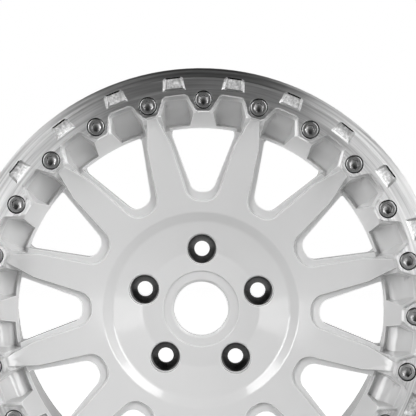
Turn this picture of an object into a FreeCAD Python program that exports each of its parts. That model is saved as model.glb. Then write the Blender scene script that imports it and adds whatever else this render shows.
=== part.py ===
import FreeCAD, Part
import math
import os

# Alloy wheel in two bolted pieces: a painted casting and a machined clamp ring.
# The wheel turns about Y. Its face looks towards -Y and its top is +Z.
# "out" is the distance from the middle of the rim towards the face, so y = -out.
# "turn" is an angle in degrees, clockwise from the top as seen from the face.

# Rim, to the usual sizes of a 17 inch rim that is 8.5 inches wide
bead_radius = 218.3
flange_height = 17.5
rim_width = 215.9
flange_thickness = 11.05
well_depth = 18.3
well_front = 58.0
well_back = 14.0
rim_wall = 6.0
bead_seat_width = 19.0
bead_taper = 1.5
hump_rise = 1.6
hump_width = 9.0
back_flange_lip = 4.0
back_wall = 8.8

# Pattern
spoke_count = 12
bolts_per_spoke = 2
lug_count = 5

# Hub
offset = 35.0
hub_thickness = 21.0
hub_bore_radius = 36.3
hub_bore_depth = 12.0
bore_chamfer = 1.5
cap_bore_radius = 27.0
cap_chamfer = 2.4
cap_recess_radius = 37.5
cap_recess_depth = 1.5
bowl_width = 30.3
hub_flat_round = 10.0
hub_back_step = 17.0
bowl_lip_width = 9.0
bowl_lip_rise = 9.5
bowl_lip_round = 12.0
hub_edge_radius = 97.0
hub_edge_rise = 15.8
hub_edge_round = 8.0
back_relief_depth = 7.0
back_relief_inner = 46.0
back_relief_outer = 75.0
back_relief_width = 26.0
back_relief_corner = 4.5

# Lug holes with pressed seats
lug_circle_radius = 60.0
lug_hole_radius = 7.75
lug_pocket_radius = 15.6
lug_pocket_depth = 4.0
seat_head_radius = 14.5
seat_head_height = 8.0
seat_shank_radius = 11.0
seat_cone_radius = 13.4
seat_cone_half_angle = 30.0

# Spokes and windows
spoke_end_inset = 9.6
spoke_thickness = 29.0
boss_rise = 5.5
spoke_root_half = 18.4
spoke_root_reach = 23.8
window_inner_radius = 117.2
window_inner_half = 9.6
window_corner = 12.0
window_outer_inset = 9.3
window_outer_corner = 9.0
ledge_depth = 4.0
ledge_wall = 1.2
ledge_end = 9.4
ledge_inner_side = 4.1
ledge_outer_side = 4.6
ledge_corner = 16.0
ledge_bend_inset = 21.5
spoke_neck_half = 7.5

# Clamp ring
ring_thickness = 15.0
ring_edge_slope = 10.3
ring_edge_drop = 13.5
ring_edge_height = 4.0
ring_edge_chamfer = 1.6
pilot_ledge = 7.3
pilot_clearance = 0.15
lip_gap = 0.5
tab_width = 14.0
tab_reach = 10.7
tab_chamfer = 1.0
notch_inset = 9.8
notch_length = 9.4
notch_inner_width = 17.1
notch_outer_width = 13.0
notch_depth = 4.0
notch_inner_draft = 0.6
notch_side_draft = 0.58
notch_outer_draft = 0.75

# Clamp bolts
bolt_inset = 6.7
bolt_radius = 5.0
bolt_length = 25.0
bolt_hole_clearance = 0.5
head_radius = 8.0
head_height = 10.0
head_recess = 0.3
counterbore_clearance = 0.8
socket_width = 8.0
socket_depth = 5.0
thread_runout = 2.0

# Bosses and scooped pockets of the shelf behind the ring
shelf_floor = 7.2
pocket_inset = 1.2
pocket_corner = 5.0
border_side = 2.5
border_root = 3.3
border_drop = 1.2
boss_root_width = 32.4
pocket_wall_plan = 4.2
pocket_wall_depth = 5.0
scoop_sag = 3.5
flank_draft = 0.18
web_thickness = 10.0
web_rise = 4.5
pillar_toe_reach = 4.8
pillar_toe_rise = 5.5
boss_chamfer = 2.0

# Valve hole
valve_hole_radius = 5.65
valve_out = 44.0
valve_turn = 180.0

# Values worked out from the sizes above
bolt_count = spoke_count * bolts_per_spoke
spoke_pitch = 360.0 / spoke_count
bolt_pitch = 360.0 / bolt_count
lug_pitch = 360.0 / lug_count
clamp = rim_width / 2
front = clamp + flange_thickness
rim_radius = bead_radius + flange_height
well_radius = bead_radius - well_depth
back_inner_radius = bead_radius - back_wall
pilot_radius = bead_radius - pilot_ledge
pocket_radius = pilot_radius - pocket_inset
bolt_circle_radius = pilot_radius - bolt_inset
ring_inner_radius = bolt_circle_radius - tab_reach
ring_face_radius = rim_radius - ring_edge_slope
notch_floor_outer = rim_radius - notch_inset
notch_floor_inner = notch_floor_outer - notch_length
window_outer_radius = ring_inner_radius - window_outer_inset
spoke_end_radius = ring_inner_radius - spoke_end_inset
pillar_toe_radius = window_outer_radius - pillar_toe_reach
ledge_bend_radius = window_outer_radius - ledge_bend_inset
spoke_root_radius = window_inner_radius + spoke_root_reach
bowl_lip_radius = hub_edge_radius - bowl_lip_width
hub_flat_radius = bowl_lip_radius - bowl_width
hub_back_radius = hub_edge_radius - hub_back_step
pad = front - ring_thickness
hub_front = offset + hub_thickness
seat_top = hub_front - lug_pocket_depth
counterbore_depth = head_height + head_recess
bolt_end = front - counterbore_depth - bolt_length
thread_end = bolt_end - thread_runout
shelf_under = thread_end - shelf_floor
floor_edge = shelf_under + web_rise
spoke_end = pad - boss_rise
hub_edge = hub_front + hub_edge_rise
face_slope = (spoke_end - hub_edge) / (spoke_end_radius - hub_edge_radius)
half_pocket = math.radians(bolt_pitch / 2)
half_bay = math.radians(spoke_pitch / 2)
reach = 40.0
proud = 1.0

ORIGIN = FreeCAD.Vector(0, 0, 0)
AXIS = FreeCAD.Vector(0, 1, 0)


def place(radius, out, side=0.0):
    """A point straight up from the axis, with a sideways step."""
    return FreeCAD.Vector(side, -out, radius)


def turned(shape, turn):
    """A copy of a shape, turned clockwise about the wheel's axis."""
    copy = shape.copy()
    copy.rotate(ORIGIN, AXIS, turn)
    return copy


def ring_of(shape, count, first=0.0):
    """Evenly spaced copies of a shape around the axis."""
    return [turned(shape, first + 360.0 * i / count) for i in range(count)]


def rounded_wire(corners):
    """A closed wire through (point, radius) corners, with an arc at each rounded one."""
    edges = []
    last = None
    first = None
    for i, (corner, radius) in enumerate(corners):
        back = (corners[i - 1][0] - corner).normalize()
        ahead = (corners[(i + 1) % len(corners)][0] - corner).normalize()
        half = back.getAngle(ahead) / 2
        setback = radius / math.tan(half)
        start = corner + back * setback
        end = corner + ahead * setback
        if last is None:
            first = start
        else:
            edges.append(Part.makeLine(last, start))
        if radius > 0:
            inward = (back + ahead).normalize()
            middle = corner + inward * (radius / math.sin(half) - radius)
            edges.append(Part.Arc(start, middle, end).toShape())
        last = end
    edges.append(Part.makeLine(last, first))
    return Part.Wire(edges)


def turned_solid(section, sweep=360.0):
    """A section of (radius, out, corner radius) points, turned evenly to both sides of the top."""
    face = Part.Face(rounded_wire([(place(r, w), corner) for r, w, corner in section]))
    face.rotate(ORIGIN, AXIS, -sweep / 2)
    return face.revolve(ORIGIN, AXIS, sweep)


def plan_wire(outline, level):
    """An outline of (radius, side, corner radius) points, at a level given by the radius."""
    return rounded_wire([(place(r, level(r), side), corner) for r, side, corner in outline])


def loft_between(lower, upper):
    return Part.makeLoft([lower, upper], True, True)


def mirrored_outline(side_points):
    """A closed outline from the points of its right side, listed from the inside out."""
    left = [(r, -side, corner) for r, side, corner in side_points]
    return side_points + left[::-1]


def bore_at(circle_radius, radius, start, end):
    """A cylinder along the axis, straight up from it, between two levels."""
    return Part.makeCylinder(radius, end - start, place(circle_radius, start), -AXIS)


def spoke_face(radius):
    return hub_edge + face_slope * (radius - hub_edge_radius)


def rim_bay():
    """Barrel, bead seats, back flange and the thick shelf that carries the ring."""
    seat_in = bead_radius - bead_taper
    front_seat = clamp - lip_gap
    hump_front = front_seat - bead_seat_width
    hump_back = bead_seat_width - clamp
    well_inner = well_radius - rim_wall
    step = seat_in - well_radius
    cone_top = ring_inner_radius - boss_chamfer
    section = [
        (ring_inner_radius, pad, 0),
        (pilot_radius + pilot_clearance, pad, 0),
        (pilot_radius + pilot_clearance, front_seat, 0),
        (bead_radius, front_seat, 0),
        (seat_in, hump_front, 0),
        (seat_in + hump_rise, hump_front - hump_width / 2, 0),
        (seat_in, hump_front - hump_width, 0),
        (well_radius, well_front, 0),
        (well_radius, well_back, 0),
        (seat_in - hump_rise, hump_back + hump_width + step, 0),
        (seat_in, hump_back + hump_width, 0),
        (seat_in + hump_rise, hump_back + hump_width / 2, 0),
        (seat_in, hump_back, 0),
        (bead_radius, -clamp, 0),
        (rim_radius - back_flange_lip, -clamp, 0),
        (rim_radius, -clamp - back_flange_lip, 0),
        (rim_radius, -front, 0),
        (back_inner_radius, -front, 0),
        (back_inner_radius, hump_back + hump_width + step, 0),
        (well_inner, well_back - rim_wall, 0),
        (well_inner, well_front + rim_wall / 2, 0),
        (well_inner + step / 2, shelf_under, 0),
        (window_outer_radius, shelf_under, 0),
        (pillar_toe_radius, shelf_under + pillar_toe_rise, 0),
        (cone_top, pad - boss_chamfer, 0),
    ]
    return turned_solid(section, spoke_pitch)


def disc_bay():
    """Hub, bowl and the cone that the spokes are cut from, turned as one."""
    spoke_back = spoke_end - spoke_thickness
    root = pilot_radius - rim_wall
    bore_floor = offset + hub_bore_depth
    recess = hub_front - cap_recess_depth
    section = [
        (hub_bore_radius + bore_chamfer, offset, 0),
        (hub_bore_radius, offset + bore_chamfer, 0),
        (hub_bore_radius, bore_floor, 0),
        (cap_bore_radius, bore_floor, 0),
        (cap_bore_radius, recess - cap_chamfer, 0),
        (cap_bore_radius + cap_chamfer, recess, 0),
        (cap_recess_radius, recess, 0),
        (cap_recess_radius + cap_recess_depth / 2, hub_front, 0),
        (hub_flat_radius, hub_front, hub_flat_round),
        (bowl_lip_radius, hub_front + bowl_lip_rise, bowl_lip_round),
        (hub_edge_radius, hub_edge, hub_edge_round),
        (spoke_end_radius, spoke_end, 0),
        (ring_inner_radius - boss_chamfer, pad, 0),
        (root, pad, 0),
        (root, spoke_back, 0),
        (spoke_end_radius, spoke_back, 0),
        (hub_edge_radius, hub_edge - spoke_thickness, 0),
        (hub_back_radius, offset, 0),
    ]
    return turned_solid(section, spoke_pitch)


def window_side(radius):
    """Half width of the clear window, in line with the wide back of the spoke beside it."""
    root_side = spoke_root_radius * math.sin(half_bay) - spoke_root_half * math.cos(half_bay)
    root_along = spoke_root_radius * math.cos(half_bay) + spoke_root_half * math.sin(half_bay)
    slope = (root_side - window_inner_half) / (root_along - window_inner_radius)
    return window_inner_half + slope * (radius - window_inner_radius)


def window_prism(outer):
    outline = mirrored_outline([
        (window_inner_radius, window_inner_half, window_corner),
        (outer, window_side(outer), 0),
    ])
    wire = plan_wire(outline[::-1], lambda r: offset - reach)
    depth = FreeCAD.Vector(0, -(front - offset + 2 * reach), 0)
    return Part.Face(wire).extrude(depth)


def ledge_outline(narrowing):
    """Plan of the shallow rebate round a window, which flares out beside the end of each spoke."""
    far = pilot_radius
    neck_radius = spoke_end_radius * math.cos(half_bay)
    neck_side = spoke_end_radius * math.sin(half_bay) - spoke_neck_half
    bend_side = window_side(ledge_bend_radius) + ledge_outer_side
    flare = (neck_side - bend_side) / (neck_radius - ledge_bend_radius)
    inner = window_inner_radius - ledge_end + narrowing
    return mirrored_outline([
        (inner, window_inner_half + ledge_inner_side - narrowing, ledge_corner - narrowing),
        (ledge_bend_radius, bend_side - narrowing, 0),
        (far, bend_side + flare * (far - ledge_bend_radius) - narrowing, 0),
    ])


def window_ledge():
    """Cutter for the rebate, with a drafted wall between the spoke faces and its floor."""
    floor_wire = plan_wire(ledge_outline(ledge_wall), lambda r: spoke_face(r) - ledge_depth)
    face_wire = plan_wire(ledge_outline(0.0), spoke_face)
    top_wire = plan_wire(ledge_outline(0.0), lambda r: spoke_face(r) + reach)
    return loft_between(floor_wire, face_wire).fuse(loft_between(face_wire, top_wire))


def spoke_bay():
    """Hub and two half spokes around one window."""
    window = window_prism(pilot_radius).fuse(window_ledge())
    return disc_bay().cut(window)


def web_bay():
    """Thin web at the foot of the shelf, which rounds the outer corners of the windows."""
    top = floor_edge
    bottom = shelf_under - (web_thickness - web_rise)
    web = turned_solid([
        (spoke_root_radius, bottom, 0),
        (pilot_radius - rim_wall, bottom, 0),
        (pilot_radius - rim_wall, top, 0),
        (spoke_root_radius, top, 0),
    ], spoke_pitch)
    edge = Part.makeCylinder(window_outer_radius, front + reach, ORIGIN, -AXIS)
    window = window_prism(pilot_radius).common(edge)
    corners = []
    for edge in window.Edges:
        across = edge.BoundBox
        if across.YLength > reach and across.ZMin > spoke_root_radius:
            corners.append(edge)
    window = window.makeFillet(window_outer_corner, corners)
    return web.cut(window)


def pocket_outline(narrowing):
    """Plan of the gap between two bosses: the spoke is on its right, the free pillar on its left."""
    sine = math.sin(half_pocket)
    slant = math.tan(half_pocket)
    root_side = pocket_radius * sine - boss_root_width / 2 - narrowing
    tab_side = ring_inner_radius * sine - tab_width / 2 - narrowing
    neck = spoke_neck_half - border_side + narrowing
    inner = spoke_root_radius
    return [
        (pocket_radius, root_side, pocket_corner),
        (ring_inner_radius, tab_side, 0),
        (spoke_end_radius, spoke_end_radius * slant - neck, 0),
        (inner, inner * slant - neck, 0),
        (inner, tab_width / 2 + narrowing - inner * slant, 0),
        (ring_inner_radius, -tab_side, 0),
        (pocket_radius, -root_side, pocket_corner),
    ]


def pocket_cutter():
    """Drafted pocket with a sloped border and a scooped floor that runs down to the window's edge."""
    top = pad + proud
    edge = pad - border_drop
    foot_side = border_side + flank_draft * (edge - shelf_under)
    mouth = plan_wire(pocket_outline(-border_side * proud / border_drop), lambda r: top)
    border = plan_wire(pocket_outline(border_side), lambda r: edge)
    foot = plan_wire(pocket_outline(foot_side), lambda r: shelf_under)
    flanks = loft_between(foot, border).fuse(loft_between(border, mouth))
    brim = place(pocket_radius + border_root, pad + border_drop)
    wall_head = place(pocket_radius - border_root, edge)
    wall_foot = place(pocket_radius - pocket_wall_plan, pad - pocket_wall_depth)
    floor_end = place(window_outer_radius, floor_edge)
    chord = floor_end - wall_foot
    deeper = FreeCAD.Vector(0, -chord.z, chord.y).normalize() * scoop_sag
    if deeper.y < 0:
        deeper = deeper * -1
    scoop = Part.Arc(wall_foot, (wall_foot + floor_end) * 0.5 + deeper, floor_end).toShape()
    rise = place(window_outer_radius - (pad - floor_edge) / 2, pad + 2 * proud)
    lid = place(window_outer_radius, pad + pocket_wall_depth)
    walls = [
        Part.makeLine(floor_end, rise),
        Part.makeLine(rise, lid),
        Part.makeLine(lid, brim),
        Part.makeLine(brim, wall_head),
        Part.makeLine(wall_head, wall_foot),
    ]
    room = Part.Face(Part.Wire([scoop] + walls)).revolve(ORIGIN, AXIS, 360)
    return flanks.common(room)


def wheel_body():
    """The casting: twelve equal bays, then the holes."""
    pocket = turned(pocket_cutter(), bolt_pitch / 2)
    mirror = pocket.mirror(ORIGIN, FreeCAD.Vector(1, 0, 0))
    bay = rim_bay().fuse([spoke_bay(), web_bay()]).cut([pocket, mirror])
    bays = ring_of(bay, spoke_count)
    body = bays[0].fuse(bays[1:]).removeSplitter()
    hole = bore_at(bolt_circle_radius, bolt_radius, thread_end, pad)
    holes = ring_of(hole, bolt_count)
    seats = ring_of(lug_room(), lug_count)
    reliefs = ring_of(back_relief(), lug_count, lug_pitch / 2)
    body = body.cut(holes + seats + reliefs + [valve_hole()])
    return body.removeSplitter()


def lug_room():
    """Room for one lug seat: open pocket, head bore and shank bore on one axis."""
    open_end = hub_front + 2 * reach
    head_bottom = seat_top - seat_head_height
    pocket = bore_at(lug_circle_radius, lug_pocket_radius, seat_top, open_end)
    head = bore_at(lug_circle_radius, seat_head_radius, head_bottom, seat_top)
    shank = bore_at(lug_circle_radius, seat_shank_radius, offset, head_bottom)
    return pocket.fuse([head, shank])


def lug_seat(turn):
    """Pressed steel seat with a cone for the lug nut."""
    head_bottom = seat_top - seat_head_height
    cone_depth = (seat_cone_radius - lug_hole_radius) / math.tan(math.radians(seat_cone_half_angle))
    section = [
        (lug_hole_radius, offset),
        (seat_shank_radius, offset),
        (seat_shank_radius, head_bottom),
        (seat_head_radius, head_bottom),
        (seat_head_radius, seat_top),
        (seat_cone_radius, seat_top),
        (lug_hole_radius, seat_top - cone_depth),
    ]
    points = [place(lug_circle_radius + r, w) for r, w in section]
    face = Part.Face(Part.makePolygon(points + points[:1]))
    return turned(face.revolve(place(lug_circle_radius, 0), AXIS, 360), turn)


def back_relief():
    """Shallow pocket in the mounting face between two lug holes."""
    half = back_relief_width / 2
    outline = mirrored_outline([
        (back_relief_inner, half * back_relief_inner / back_relief_outer, back_relief_corner),
        (back_relief_outer, half, back_relief_corner),
    ])
    wire = plan_wire(outline, lambda r: offset)
    return Part.Face(wire).extrude(FreeCAD.Vector(0, -back_relief_depth, 0))


def valve_hole():
    start = place(well_radius - 2 * rim_wall, valve_out)
    hole = Part.makeCylinder(valve_hole_radius, 3 * rim_wall, start, FreeCAD.Vector(0, 0, 1))
    return turned(hole, valve_turn)


def notch_cutter():
    """Trapezoid pocket near the outer edge of the ring, with sloped walls."""
    rise = notch_depth + proud
    floor = mirrored_outline([
        (notch_floor_inner, notch_inner_width / 2, 0),
        (notch_floor_outer, notch_outer_width / 2, 0),
    ])
    spread = notch_side_draft * rise
    mouth = mirrored_outline([
        (notch_floor_inner - notch_inner_draft * rise, notch_inner_width / 2 + spread, 0),
        (notch_floor_outer + notch_outer_draft * rise, notch_outer_width / 2 + spread, 0),
    ])
    floor_out = front - notch_depth
    return loft_between(plan_wire(floor, lambda r: floor_out), plan_wire(mouth, lambda r: floor_out + rise))


def scallop_cutter():
    """Gap between two tabs of the ring, over a pocket of the casting."""
    sine = math.sin(half_pocket)
    root_side = pocket_radius * sine - boss_root_width / 2
    tab_side = ring_inner_radius * sine - tab_width / 2
    slope = (tab_side - root_side) / (pocket_radius - ring_inner_radius)
    outline = mirrored_outline([
        (ring_inner_radius - 3 * tab_chamfer, tab_side + 4 * tab_chamfer, 0),
        (ring_inner_radius - tab_chamfer / 2, tab_side + 1.5 * tab_chamfer, 0),
        (ring_inner_radius + tab_chamfer, tab_side - slope * tab_chamfer, 0),
        (pocket_radius, root_side, pocket_corner),
    ])
    wire = plan_wire(outline, lambda r: pad - proud)
    return Part.Face(wire).extrude(FreeCAD.Vector(0, -(ring_thickness + 2 * proud), 0))


def outer_ring():
    edge_front = front - ring_edge_drop
    edge_back = edge_front - ring_edge_height
    section = [
        (ring_inner_radius, pad, 0),
        (ring_inner_radius, front, 0),
        (ring_face_radius, front, 0),
        (rim_radius, edge_front, 0),
        (rim_radius, edge_back, 0),
        (rim_radius - ring_edge_chamfer, edge_back - ring_edge_chamfer, 0),
        (bead_radius + rim_wall, clamp, 0),
        (pilot_radius, clamp, 0),
        (pilot_radius, pad, 0),
    ]
    ring = turned_solid(section)
    head_room = bore_at(
        bolt_circle_radius, head_radius + counterbore_clearance, front - counterbore_depth, front
    )
    through = bore_at(bolt_circle_radius, bolt_radius + bolt_hole_clearance, pad, front)
    cutters = ring_of(head_room.fuse(through), bolt_count)
    cutters += ring_of(scallop_cutter(), bolt_count, bolt_pitch / 2)
    cutters += ring_of(notch_cutter(), bolt_count, bolt_pitch / 2)
    return ring.cut(cutters)


def clamp_bolts():
    """Socket head cap screws, one solid each."""
    seat = front - counterbore_depth
    top = seat + head_height
    section = [
        (0, bolt_end),
        (bolt_radius, bolt_end),
        (bolt_radius, seat),
        (head_radius, seat),
        (head_radius, top),
        (0, top),
    ]
    points = [place(bolt_circle_radius + r, w) for r, w in section]
    face = Part.Face(Part.makePolygon(points + points[:1]))
    bolt = face.revolve(place(bolt_circle_radius, 0), AXIS, 360)
    corner = socket_width / math.sqrt(3)
    hexagon = []
    for i in range(6):
        angle = math.radians(60 * i)
        hexagon.append(place(bolt_circle_radius + corner * math.cos(angle), top, corner * math.sin(angle)))
    socket = Part.Face(Part.makePolygon(hexagon + hexagon[:1])).extrude(AXIS * socket_depth)
    return Part.makeCompound(ring_of(bolt.cut(socket), bolt_count))


os.makedirs("parts", exist_ok=True)
pieces = {
    "wheel_body": wheel_body(),
    "outer_ring": outer_ring(),
    "clamp_bolts": clamp_bolts(),
}
for i in range(lug_count):
    pieces[f"lug_seat_{i + 1}"] = lug_seat(i * lug_pitch)
for name, shape in pieces.items():
    shape.exportStep(f"parts/{name}.step")
    print(name, shape.isValid(), len(shape.Solids), len(shape.Faces), round(shape.Volume / 1000, 2), "cm3")
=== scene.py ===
"""Alloy wheel: a gloss white casting with a lathe-turned clamp ring, in plain studio light."""
import math

import bmesh
import bpy
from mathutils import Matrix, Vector


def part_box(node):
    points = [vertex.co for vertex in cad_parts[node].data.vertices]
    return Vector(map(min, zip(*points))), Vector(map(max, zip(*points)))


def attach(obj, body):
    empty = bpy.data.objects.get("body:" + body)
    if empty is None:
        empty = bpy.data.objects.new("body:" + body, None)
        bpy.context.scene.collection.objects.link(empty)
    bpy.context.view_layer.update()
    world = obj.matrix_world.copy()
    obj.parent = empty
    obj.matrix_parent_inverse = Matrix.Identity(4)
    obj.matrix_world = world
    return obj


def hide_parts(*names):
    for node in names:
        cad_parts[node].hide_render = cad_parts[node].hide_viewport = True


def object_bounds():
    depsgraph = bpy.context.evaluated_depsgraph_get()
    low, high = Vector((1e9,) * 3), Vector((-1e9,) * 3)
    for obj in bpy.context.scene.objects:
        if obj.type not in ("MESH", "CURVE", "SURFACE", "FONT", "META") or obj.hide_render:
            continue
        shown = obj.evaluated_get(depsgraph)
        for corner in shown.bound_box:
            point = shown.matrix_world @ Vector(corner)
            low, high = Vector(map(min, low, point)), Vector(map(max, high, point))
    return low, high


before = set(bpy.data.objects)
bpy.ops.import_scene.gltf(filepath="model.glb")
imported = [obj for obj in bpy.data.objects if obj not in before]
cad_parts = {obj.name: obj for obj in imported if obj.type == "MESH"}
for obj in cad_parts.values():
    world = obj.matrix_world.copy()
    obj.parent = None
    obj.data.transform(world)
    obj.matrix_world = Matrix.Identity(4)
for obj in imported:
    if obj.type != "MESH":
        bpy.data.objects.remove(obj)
cad_low, cad_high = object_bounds()

MM = 0.001
LUGS = 5

# Camera: square on to the wheel and above its axle, with the scale of the picture at the bolts
BOLT_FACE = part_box("clamp_bolts")[0].y
PICTURE = 416
SCALE_AT_BOLTS = 0.9526 * MM
SENSOR = 36.0
CAMERA_DISTANCE = 1.200
CAMERA_RIGHT = 5.6 * MM
CAMERA_UP = 101.1 * MM
ROLL = math.radians(0.7)

# Bolts, wells and notches, as the solids have them
BOLTS = 24
BOLT_CIRCLE = 204.3 * MM
SOCKET_FLOOR = BOLT_FACE + 5.0 * MM
WELL_REACH = 9.2 * MM
NOTCH_FLOOR = -115.0 * MM
NOTCH_RADIUS = BOLT_CIRCLE + 5.0 * MM

# Small shapes added to the copied solids
DRILL_POINT = 1.7 * MM
MOUTH_BEVEL = 0.45 * MM
RIM_BEVEL = 1.2 * MM
SEAT_BEVEL = 1.0 * MM

# Merging and shading of the copied solids
LEVEL = 0.03 * MM
MERGE = 0.002 * MM
COPLANAR = math.radians(0.4)
CREASE = math.radians(24)
HOLLOW = math.radians(60)

# How far a face's normal leans along the axle, by the kind of face
WALL_LEAN = 0.5
SOCKET_LEAN = 0.9
NOTCH_LEAN = 0.95
CONE_LEAN = (0.2, 0.8)

# How far the normal of a notch's outer wall points at the axle
OUTER_WALL_LEAN = 0.3

# Places of the second and third materials on the bolts and on the ring; the shade slots take a
# near-black metal as painted shade
BOLT_SHADE_SLOT = 1
RING_MILLED = 1
RING_SHADE_SLOT = 2

# Most values of a noise lie between these
NOISE_LOW = 0.3
NOISE_HIGH = 0.7

# Sockets of a Mix node, which share names between its types
COLOR_A, COLOR_B, COLOR_OUT = 6, 7, 2
FLOAT_A, FLOAT_B, FLOAT_OUT = 2, 3, 0

# Lamps, all aimed at the wheel's middle: name, place, width and height in metres, watts
LAMPS = [
    ("left_softbox", (-1.40, -1.30, 0.75), (0.6, 1.8), 22),
    ("right_softbox", (1.35, -1.30, 0.95), (0.6, 1.8), 20),
    ("right_strip", (1.80, -0.70, 0.35), (0.3, 1.5), 9),
    ("left_fill", (-0.74, -1.30, -0.07), (0.3, 0.3), 0.8),
    ("right_fill", (0.74, -1.30, -0.07), (0.3, 0.3), 0.8),
]

# Light levels, where 1 is white
ROOM_LEVEL = 0.08
WALL_LEVEL = 0.45
FLOOR_GLOW = 0.94
TABLE_LIGHT = 1.7

# Where the wall begins behind the wheel, and the dark ceiling above it, as parts of a direction
WALL_START, WALL_FULL = 0.25, 0.75
CEILING_START, CEILING_FULL = 0.05, 0.40

# Floor: half its width, and where it turns from grey in front to white behind
FLOOR_REACH = 4.0
FLOOR_GREY_END, FLOOR_WHITE_START = -0.2, 0.3


def grey(level):
    return (level, level, level, 1)


def new_material(name):
    material = bpy.data.materials.new(name)
    material.use_nodes = True
    nodes = material.node_tree.nodes
    nodes.clear()
    shader = nodes.new("ShaderNodeBsdfPrincipled")
    output = nodes.new("ShaderNodeOutputMaterial")
    material.node_tree.links.new(shader.outputs["BSDF"], output.inputs["Surface"])
    return material, shader


def add_node(material, kind, **settings):
    node = material.node_tree.nodes.new(kind)
    for name, value in settings.items():
        setattr(node, name, value)
    return node


def link(material, source, target):
    material.node_tree.links.new(source, target)


def ranged(material, source, low, high, start=NOISE_LOW, end=NOISE_HIGH):
    """Spread the stretch of a value from start to end over low to high."""
    spread = add_node(material, "ShaderNodeMapRange")
    spread.inputs["From Min"].default_value = start
    spread.inputs["From Max"].default_value = end
    spread.inputs["To Min"].default_value = low
    spread.inputs["To Max"].default_value = high
    link(material, source, spread.inputs["Value"])
    return spread.outputs["Result"]


def mixed_greys(material, factor, dark, light):
    mix = add_node(material, "ShaderNodeMix", data_type="RGBA")
    mix.inputs[COLOR_A].default_value = grey(dark)
    mix.inputs[COLOR_B].default_value = grey(light)
    link(material, factor, mix.inputs["Factor"])
    return mix.outputs[COLOR_OUT]


def new_group(name, inputs, outputs):
    """A shader node group with named sockets, and the nodes at its two ends."""
    group = bpy.data.node_groups.new(name, "ShaderNodeTree")
    for socket, kind in inputs:
        group.interface.new_socket(socket, in_out="INPUT", socket_type=kind)
    for socket, kind in outputs:
        group.interface.new_socket(socket, in_out="OUTPUT", socket_type=kind)
    return group, group.nodes.new("NodeGroupInput"), group.nodes.new("NodeGroupOutput")


def grain_group():
    """Mottling on the piece's own coordinates, with the scale in features per metre."""
    group, given, result = new_group(
        "surface_grain",
        [
            ("Scale", "NodeSocketFloat"),
            ("Detail", "NodeSocketFloat"),
            ("Dark", "NodeSocketColor"),
            ("Light", "NodeSocketColor"),
            ("Smooth", "NodeSocketFloat"),
            ("Rough", "NodeSocketFloat"),
        ],
        [
            ("Color", "NodeSocketColor"),
            ("Roughness", "NodeSocketFloat"),
            ("Height", "NodeSocketFloat"),
        ],
    )
    nodes, links = group.nodes, group.links
    place = nodes.new("ShaderNodeTexCoord")
    noise = nodes.new("ShaderNodeTexNoise")
    noise.inputs["Roughness"].default_value = 0.55
    links.new(place.outputs["Object"], noise.inputs["Vector"])
    links.new(given.outputs["Scale"], noise.inputs["Scale"])
    links.new(given.outputs["Detail"], noise.inputs["Detail"])
    spread = nodes.new("ShaderNodeMapRange")
    spread.inputs["From Min"].default_value = NOISE_LOW
    spread.inputs["From Max"].default_value = NOISE_HIGH
    links.new(noise.outputs["Fac"], spread.inputs["Value"])
    tone = nodes.new("ShaderNodeMix")
    tone.data_type = "RGBA"
    links.new(spread.outputs["Result"], tone.inputs["Factor"])
    links.new(given.outputs["Dark"], tone.inputs[COLOR_A])
    links.new(given.outputs["Light"], tone.inputs[COLOR_B])
    rough = nodes.new("ShaderNodeMix")
    links.new(spread.outputs["Result"], rough.inputs["Factor"])
    links.new(given.outputs["Smooth"], rough.inputs[FLOAT_A])
    links.new(given.outputs["Rough"], rough.inputs[FLOAT_B])
    links.new(tone.outputs[COLOR_OUT], result.inputs["Color"])
    links.new(rough.outputs[FLOAT_OUT], result.inputs["Roughness"])
    links.new(noise.outputs["Fac"], result.inputs["Height"])
    return group


def edge_group():
    """Corners rounded in the shading, with a fine relief on top."""
    group, given, result = new_group(
        "soft_edge",
        [
            ("Height", "NodeSocketFloat"),
            ("Radius", "NodeSocketFloat"),
            ("Strength", "NodeSocketFloat"),
            ("Distance", "NodeSocketFloat"),
        ],
        [("Normal", "NodeSocketVector")],
    )
    edge = group.nodes.new("ShaderNodeBevel")
    edge.samples = 6
    bump = group.nodes.new("ShaderNodeBump")
    group.links.new(given.outputs["Radius"], edge.inputs["Radius"])
    group.links.new(edge.outputs["Normal"], bump.inputs["Normal"])
    for socket in ("Height", "Strength", "Distance"):
        group.links.new(given.outputs[socket], bump.inputs[socket])
    group.links.new(bump.outputs["Normal"], result.inputs["Normal"])
    return group


SURFACE_GRAIN = grain_group()
SOFT_EDGE = edge_group()


def surface_grain(material, scale, detail, tones=(0.5, 0.5), roughness=(0.5, 0.5)):
    node = add_node(material, "ShaderNodeGroup", node_tree=SURFACE_GRAIN)
    node.inputs["Scale"].default_value = scale
    node.inputs["Detail"].default_value = detail
    node.inputs["Dark"].default_value = grey(tones[0])
    node.inputs["Light"].default_value = grey(tones[1])
    node.inputs["Smooth"].default_value = roughness[0]
    node.inputs["Rough"].default_value = roughness[1]
    return node


def soft_edge(material, shader, height, radius, strength, distance=0.05 * MM):
    node = add_node(material, "ShaderNodeGroup", node_tree=SOFT_EDGE)
    node.inputs["Radius"].default_value = radius
    node.inputs["Strength"].default_value = strength
    node.inputs["Distance"].default_value = distance
    link(material, height, node.inputs["Height"])
    link(material, node.outputs["Normal"], shader.inputs["Normal"])


def grained_metal(name, scale, detail, tones, roughness):
    """Metal whose tone and roughness both follow one grain."""
    material, shader = new_material(name)
    grain = surface_grain(material, scale, detail, tones, roughness)
    link(material, grain.outputs["Color"], shader.inputs["Base Color"])
    link(material, grain.outputs["Roughness"], shader.inputs["Roughness"])
    shader.inputs["Metallic"].default_value = 1.0
    return material, shader, grain.outputs["Height"]


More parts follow.
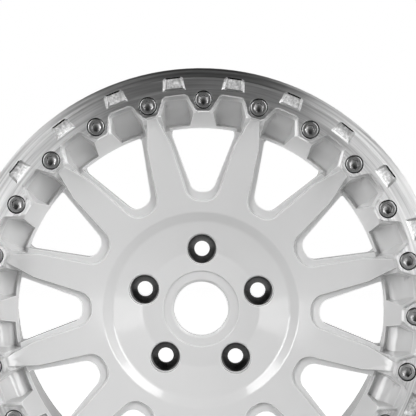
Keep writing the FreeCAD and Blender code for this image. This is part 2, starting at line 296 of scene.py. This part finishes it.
def white_paint():
    """Gloss paint with a slight orange peel, and a painted highlight along its raised edges."""
    material, shader = new_material("white_paint")
    tone = surface_grain(material, scale=9.0, detail=2.0, tones=(0.765, 0.795))
    # Painted highlight: the base colour turns near white within about a millimetre of convex
    # edges, found by inward ambient occlusion
    edge = add_node(material, "ShaderNodeAmbientOcclusion", samples=6, inside=True)
    edge.inputs["Distance"].default_value = 1.2 * MM
    edge_highlight_mask = ranged(material, edge.outputs["AO"], low=1.0, high=0.0, start=0.55, end=0.95)
    painted_edge_highlight = add_node(material, "ShaderNodeMix", data_type="RGBA")
    painted_edge_highlight.inputs[COLOR_B].default_value = grey(0.97)
    link(material, edge_highlight_mask, painted_edge_highlight.inputs["Factor"])
    link(material, tone.outputs["Color"], painted_edge_highlight.inputs[COLOR_A])
    link(material, painted_edge_highlight.outputs[COLOR_OUT], shader.inputs["Base Color"])
    peel = surface_grain(material, scale=900.0, detail=2.0, roughness=(0.30, 0.40))
    link(material, peel.outputs["Roughness"], shader.inputs["Roughness"])
    shader.inputs["Coat Weight"].default_value = 1.0
    shader.inputs["Coat Roughness"].default_value = 0.10
    soft_edge(material, shader, peel.outputs["Height"], radius=1.2 * MM, strength=0.05)
    return material


def wheel_polar(material):
    """Distance from the axle, angle around it and the direction around it, at the shaded point."""
    place = add_node(material, "ShaderNodeTexCoord")
    split = add_node(material, "ShaderNodeSeparateXYZ")
    link(material, place.outputs["Object"], split.inputs["Vector"])
    flat = add_node(material, "ShaderNodeCombineXYZ")
    link(material, split.outputs["X"], flat.inputs["X"])
    link(material, split.outputs["Z"], flat.inputs["Y"])
    radius = add_node(material, "ShaderNodeVectorMath", operation="LENGTH")
    link(material, flat.outputs["Vector"], radius.inputs[0])
    angle = add_node(material, "ShaderNodeMath", operation="ARCTAN2")
    link(material, split.outputs["X"], angle.inputs[0])
    link(material, split.outputs["Z"], angle.inputs[1])
    around = add_node(material, "ShaderNodeVectorMath", operation="CROSS_PRODUCT")
    around.inputs[0].default_value = (0, 1, 0)
    link(material, place.outputs["Object"], around.inputs[1])
    return radius.outputs["Value"], angle.outputs["Value"], around.outputs["Vector"]


def tool_marks(material, radius, angle, per_metre, per_radian):
    """Noise drawn out into arcs about the axle."""
    across = add_node(material, "ShaderNodeMath", operation="MULTIPLY")
    across.inputs[1].default_value = per_metre
    link(material, radius, across.inputs[0])
    along = add_node(material, "ShaderNodeMath", operation="MULTIPLY")
    along.inputs[1].default_value = per_radian
    link(material, angle, along.inputs[0])
    spot = add_node(material, "ShaderNodeCombineXYZ")
    link(material, across.outputs["Value"], spot.inputs["X"])
    link(material, along.outputs["Value"], spot.inputs["Y"])
    noise = add_node(material, "ShaderNodeTexNoise", noise_dimensions="2D")
    noise.inputs["Scale"].default_value = 1.0
    noise.inputs["Detail"].default_value = 3.0
    noise.inputs["Roughness"].default_value = 0.6
    link(material, spot.outputs["Vector"], noise.inputs["Vector"])
    return noise.outputs["Fac"]


def turned_aluminium():
    """Bare metal with fine concentric tool marks around the axle."""
    material, shader = new_material("turned_aluminium")
    radius, angle, around = wheel_polar(material)
    marks = tool_marks(material, radius, angle, per_metre=420.0, per_radian=2.2)
    tone = mixed_greys(material, ranged(material, marks, 0.0, 1.0), dark=0.68, light=0.97)
    link(material, tone, shader.inputs["Base Color"])
    shader.inputs["Metallic"].default_value = 1.0
    shader.inputs["Anisotropic"].default_value = 0.85
    shader.inputs["Anisotropic Rotation"].default_value = 0.25
    link(material, ranged(material, marks, 0.38, 0.50), shader.inputs["Roughness"])
    link(material, around, shader.inputs["Tangent"])
    fine = tool_marks(material, radius, angle, per_metre=2400.0, per_radian=3.0)
    soft_edge(material, shader, fine, radius=0.5 * MM, strength=0.10)
    return material


def milled_aluminium():
    """Bare metal left by a small cutter, which scatters light evenly."""
    material, shader, height = grained_metal(
        "milled_aluminium", scale=420.0, detail=4.0, tones=(0.42, 0.95), roughness=(0.55, 0.70)
    )
    soft_edge(material, shader, height, radius=0.6 * MM, strength=0.25, distance=0.10 * MM)
    return material


def painted_shade_metal():
    """Dull, near-black metal that paints shade into the bolt wells, the bolts' sides and sockets,
    and the notches' outer walls.
    """
    material, shader, height = grained_metal(
        "painted_shade_metal", scale=600.0, detail=3.0, tones=(0.015, 0.030), roughness=(0.55, 0.75)
    )
    soft_edge(material, shader, height, radius=0.2 * MM, strength=0.05)
    return material


def plated_steel():
    """Grey plating of the bolts."""
    material, shader, height = grained_metal(
        "plated_steel", scale=1500.0, detail=3.0, tones=(0.42, 0.66), roughness=(0.25, 0.37)
    )
    soft_edge(material, shader, height, radius=0.25 * MM, strength=0.08)
    return material


def shaded_bare_steel():
    """Steel of the lug seats, with its tone darkened as painted shade for the deep seat cones."""
    material, shader, height = grained_metal(
        # Painted shade: the tones are kept near black for the shade inside the seat cones
        "shaded_bare_steel", scale=1200.0, detail=3.0, tones=(0.07, 0.11), roughness=(0.25, 0.40)
    )
    soft_edge(material, shader, height, radius=0.4 * MM, strength=0.08)
    return material


def round_edges(shape, edges, offset, segments):
    bmesh.ops.bevel(
        shape, geom=edges, offset=offset, offset_type="OFFSET", segments=segments, profile=0.5,
        affect="EDGES", material=-1,
    )


def bolt_axis(point):
    """The nearest bolt's centre, at the same level as a point."""
    step = 2 * math.pi / BOLTS
    turn = round(math.atan2(point.x, point.z) / step) * step
    return Vector((BOLT_CIRCLE * math.sin(turn), point.y, BOLT_CIRCLE * math.cos(turn)))


def round_heads(shape):
    """Round each bolt head's rim, ease its socket's mouth and drill the socket's floor."""
    rims, mouths = [], []
    for edge in shape.edges:
        if all(abs(v.co.y - BOLT_FACE) < LEVEL for v in edge.verts):
            middle = (edge.verts[0].co + edge.verts[1].co) / 2
            walls = [f for f in edge.link_faces if abs(f.normal.y) < WALL_LEAN]
            if walls and len(edge.link_faces) == 2:
                from_axis = walls[0].calc_center_median() - bolt_axis(middle)
                outward = walls[0].normal.dot(from_axis)
                (rims if outward > 0 else mouths).append(edge)
    floors = []
    for face in shape.faces:
        level = face.calc_center_median().y
        if face.normal.y < -SOCKET_LEAN and abs(level - SOCKET_FLOOR) < LEVEL:
            floors.append(face)
    bmesh.ops.poke(shape, faces=floors, offset=-DRILL_POINT)
    round_edges(shape, mouths, MOUTH_BEVEL, segments=2)
    rims = [e for e in rims if e.is_valid]
    round_edges(shape, rims, RIM_BEVEL, segments=4)
    # Painted shade: the heads' sides and the socket walls take the near-black metal
    for face in shape.faces:
        if abs(face.normal.y) < WALL_LEAN:
            face.material_index = BOLT_SHADE_SLOT


def ease_mouth(shape):
    """Round the front edge of a lug seat's cone."""
    front = min(v.co.y for v in shape.verts)
    least, most = CONE_LEAN
    mouth = []
    for edge in shape.edges:
        if all(abs(v.co.y - front) < LEVEL for v in edge.verts) and len(edge.link_faces) == 2:
            if any(least < abs(f.normal.y) < most for f in edge.link_faces):
                mouth.append(edge)
    round_edges(shape, mouth, SEAT_BEVEL, segments=4)


def mark_ring(shape):
    """Give the milled notch floors their own finish, and paint shade on the ring's bolt wells and
    the notches' outer walls with the near-black metal.
    """
    for face in shape.faces:
        middle = face.calc_center_median()
        radius = math.hypot(middle.x, middle.z)
        on_floor = any(abs(v.co.y - NOTCH_FLOOR) < LEVEL for v in face.verts)
        inward = -(face.normal.x * middle.x + face.normal.z * middle.z) / radius
        is_wall = abs(face.normal.y) < WALL_LEAN
        if on_floor and radius > NOTCH_RADIUS:
            if face.normal.y < -NOTCH_LEAN:
                face.material_index = RING_MILLED
            # Painted shade: a notch's outer wall takes the near-black metal
            elif inward > OUTER_WALL_LEAN:
                face.material_index = RING_SHADE_SLOT
        # Painted shade: the ring's walls around each bolt take the near-black metal
        elif is_wall and (middle - bolt_axis(middle)).length < WELL_REACH:
            face.material_index = RING_SHADE_SLOT


def dressed(node, materials, finish=None):
    """A merged, smoothly shaded copy of a solid, which stands for it."""
    shape = bmesh.new()
    shape.from_mesh(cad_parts[node].data)
    bmesh.ops.remove_doubles(shape, verts=shape.verts, dist=MERGE)
    bmesh.ops.dissolve_limit(
        shape, angle_limit=COPLANAR, verts=shape.verts, edges=shape.edges
    )
    if finish:
        finish(shape)
    for face in shape.faces:
        face.smooth = True
    for edge in shape.edges:
        if len(edge.link_faces) == 2:
            limit = CREASE if edge.is_convex else HOLLOW
            edge.smooth = edge.calc_face_angle() < limit
    mesh = bpy.data.meshes.new(f"{node}_dressed")
    shape.to_mesh(mesh)
    shape.free()
    for material in materials:
        mesh.materials.append(material)
    piece = bpy.data.objects.new(f"{node}_dressed", mesh)
    bpy.context.scene.collection.objects.link(piece)
    flat = piece.modifiers.new("even_shading", "WEIGHTED_NORMAL")
    flat.keep_sharp = True
    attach(piece, "root")
    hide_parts(node)


def camera():
    data = bpy.data.cameras.new("camera")
    data.sensor_width = SENSOR
    data.lens = SENSOR * CAMERA_DISTANCE / SCALE_AT_BOLTS / PICTURE
    eye = bpy.data.objects.new("camera", data)
    eye.location = (CAMERA_RIGHT, BOLT_FACE - CAMERA_DISTANCE, CAMERA_UP)
    eye.rotation_euler = (math.pi / 2, -ROLL, 0)
    bpy.context.scene.collection.objects.link(eye)
    bpy.context.scene.camera = eye


def studio():
    for name, place, size, power in LAMPS:
        data = bpy.data.lights.new(name, "AREA")
        data.shape = "RECTANGLE"
        data.size, data.size_y = size
        data.energy = power
        lamp = bpy.data.objects.new(name, data)
        lamp.location = place
        lamp.rotation_euler = (-Vector(place)).to_track_quat("-Z", "Y").to_euler()
        bpy.context.scene.collection.objects.link(lamp)


def soft_step(tree, source, start, end, low, high):
    """A value that eases from low to high while the source goes from start to end."""
    step = tree.nodes.new("ShaderNodeMapRange")
    step.interpolation_type = "SMOOTHSTEP"
    step.inputs["From Min"].default_value = start
    step.inputs["From Max"].default_value = end
    step.inputs["To Min"].default_value = low
    step.inputs["To Max"].default_value = high
    tree.links.new(source, step.inputs["Value"])
    return step.outputs["Result"]


def white_surround():
    """A dim room with a paler wall behind the wheel, which is pure white to the eye."""
    world = bpy.data.worlds.new("surround")
    bpy.context.scene.world = world
    world.use_nodes = True
    tree = world.node_tree
    nodes, links = tree.nodes, tree.links
    nodes.clear()
    direction = nodes.new("ShaderNodeTexCoord")
    split = nodes.new("ShaderNodeSeparateXYZ")
    links.new(direction.outputs["Generated"], split.inputs["Vector"])
    wall = soft_step(tree, split.outputs["Y"], WALL_START, WALL_FULL, ROOM_LEVEL, WALL_LEVEL)
    ceiling = soft_step(tree, split.outputs["Z"], CEILING_START, CEILING_FULL, 1.0, ROOM_LEVEL)
    shade = nodes.new("ShaderNodeMath")
    shade.operation = "MULTIPLY"
    links.new(wall, shade.inputs[0])
    links.new(ceiling, shade.inputs[1])
    room = nodes.new("ShaderNodeBackground")
    room.inputs["Color"].default_value = grey(1)
    links.new(shade.outputs["Value"], room.inputs["Strength"])
    shown = nodes.new("ShaderNodeBackground")
    shown.inputs["Color"].default_value = grey(1)
    path = nodes.new("ShaderNodeLightPath")
    mix = nodes.new("ShaderNodeMixShader")
    output = nodes.new("ShaderNodeOutputWorld")
    links.new(path.outputs["Is Camera Ray"], mix.inputs["Fac"])
    links.new(room.outputs["Background"], mix.inputs[1])
    links.new(shown.outputs["Background"], mix.inputs[2])
    links.new(mix.outputs["Shader"], output.inputs["Surface"])


def floor_white():
    """Floor paint that glows to the eye, and lights the wheel from behind."""
    material, shader = new_material("floor_white")
    place = add_node(material, "ShaderNodeTexCoord")
    split = add_node(material, "ShaderNodeSeparateXYZ")
    link(material, place.outputs["Object"], split.inputs["Vector"])
    behind = ranged(
        material, split.outputs["Y"], 0.0, 1.0, FLOOR_GREY_END, FLOOR_WHITE_START
    )
    tone = mixed_greys(material, behind, dark=0.45, light=0.90)
    link(material, tone, shader.inputs["Base Color"])
    shader.inputs["Roughness"].default_value = 0.7
    shader.inputs["Emission Color"].default_value = grey(1)
    lit = add_node(material, "ShaderNodeMath", operation="MULTIPLY")
    lit.inputs[1].default_value = TABLE_LIGHT
    link(material, behind, lit.inputs[0])
    path = add_node(material, "ShaderNodeLightPath")
    glow = add_node(material, "ShaderNodeMix", data_type="FLOAT")
    glow.inputs[FLOAT_B].default_value = FLOOR_GLOW
    link(material, path.outputs["Is Camera Ray"], glow.inputs["Factor"])
    link(material, lit.outputs["Value"], glow.inputs[FLOAT_A])
    link(material, glow.outputs[FLOAT_OUT], shader.inputs["Emission Strength"])
    return material


def floor():
    """Floor under the wheel, which meets the white wall."""
    mesh = bpy.data.meshes.new("floor")
    shape = bmesh.new()
    bmesh.ops.create_grid(shape, x_segments=1, y_segments=1, size=FLOOR_REACH)
    bmesh.ops.translate(shape, verts=shape.verts, vec=(0, 0, cad_low.z))
    shape.to_mesh(mesh)
    shape.free()
    mesh.materials.append(floor_white())
    ground = bpy.data.objects.new("floor", mesh)
    bpy.context.scene.collection.objects.link(ground)


bpy.context.scene.view_settings.view_transform = "Standard"
camera()
studio()
white_surround()
floor()
# The near-black metal is painted shade for the bolt wells, bolt sides and sockets, and the
# notches' outer walls
painted_well_shade = painted_shade_metal()
shaded_seat_steel = shaded_bare_steel()
dressed("wheel_body", [white_paint()])
dressed("outer_ring", [turned_aluminium(), milled_aluminium(), painted_well_shade], mark_ring)
dressed("clamp_bolts", [plated_steel(), painted_well_shade], round_heads)
for i in range(LUGS):
    dressed(f"lug_seat_{i + 1}", [shaded_seat_steel], ease_mouth)
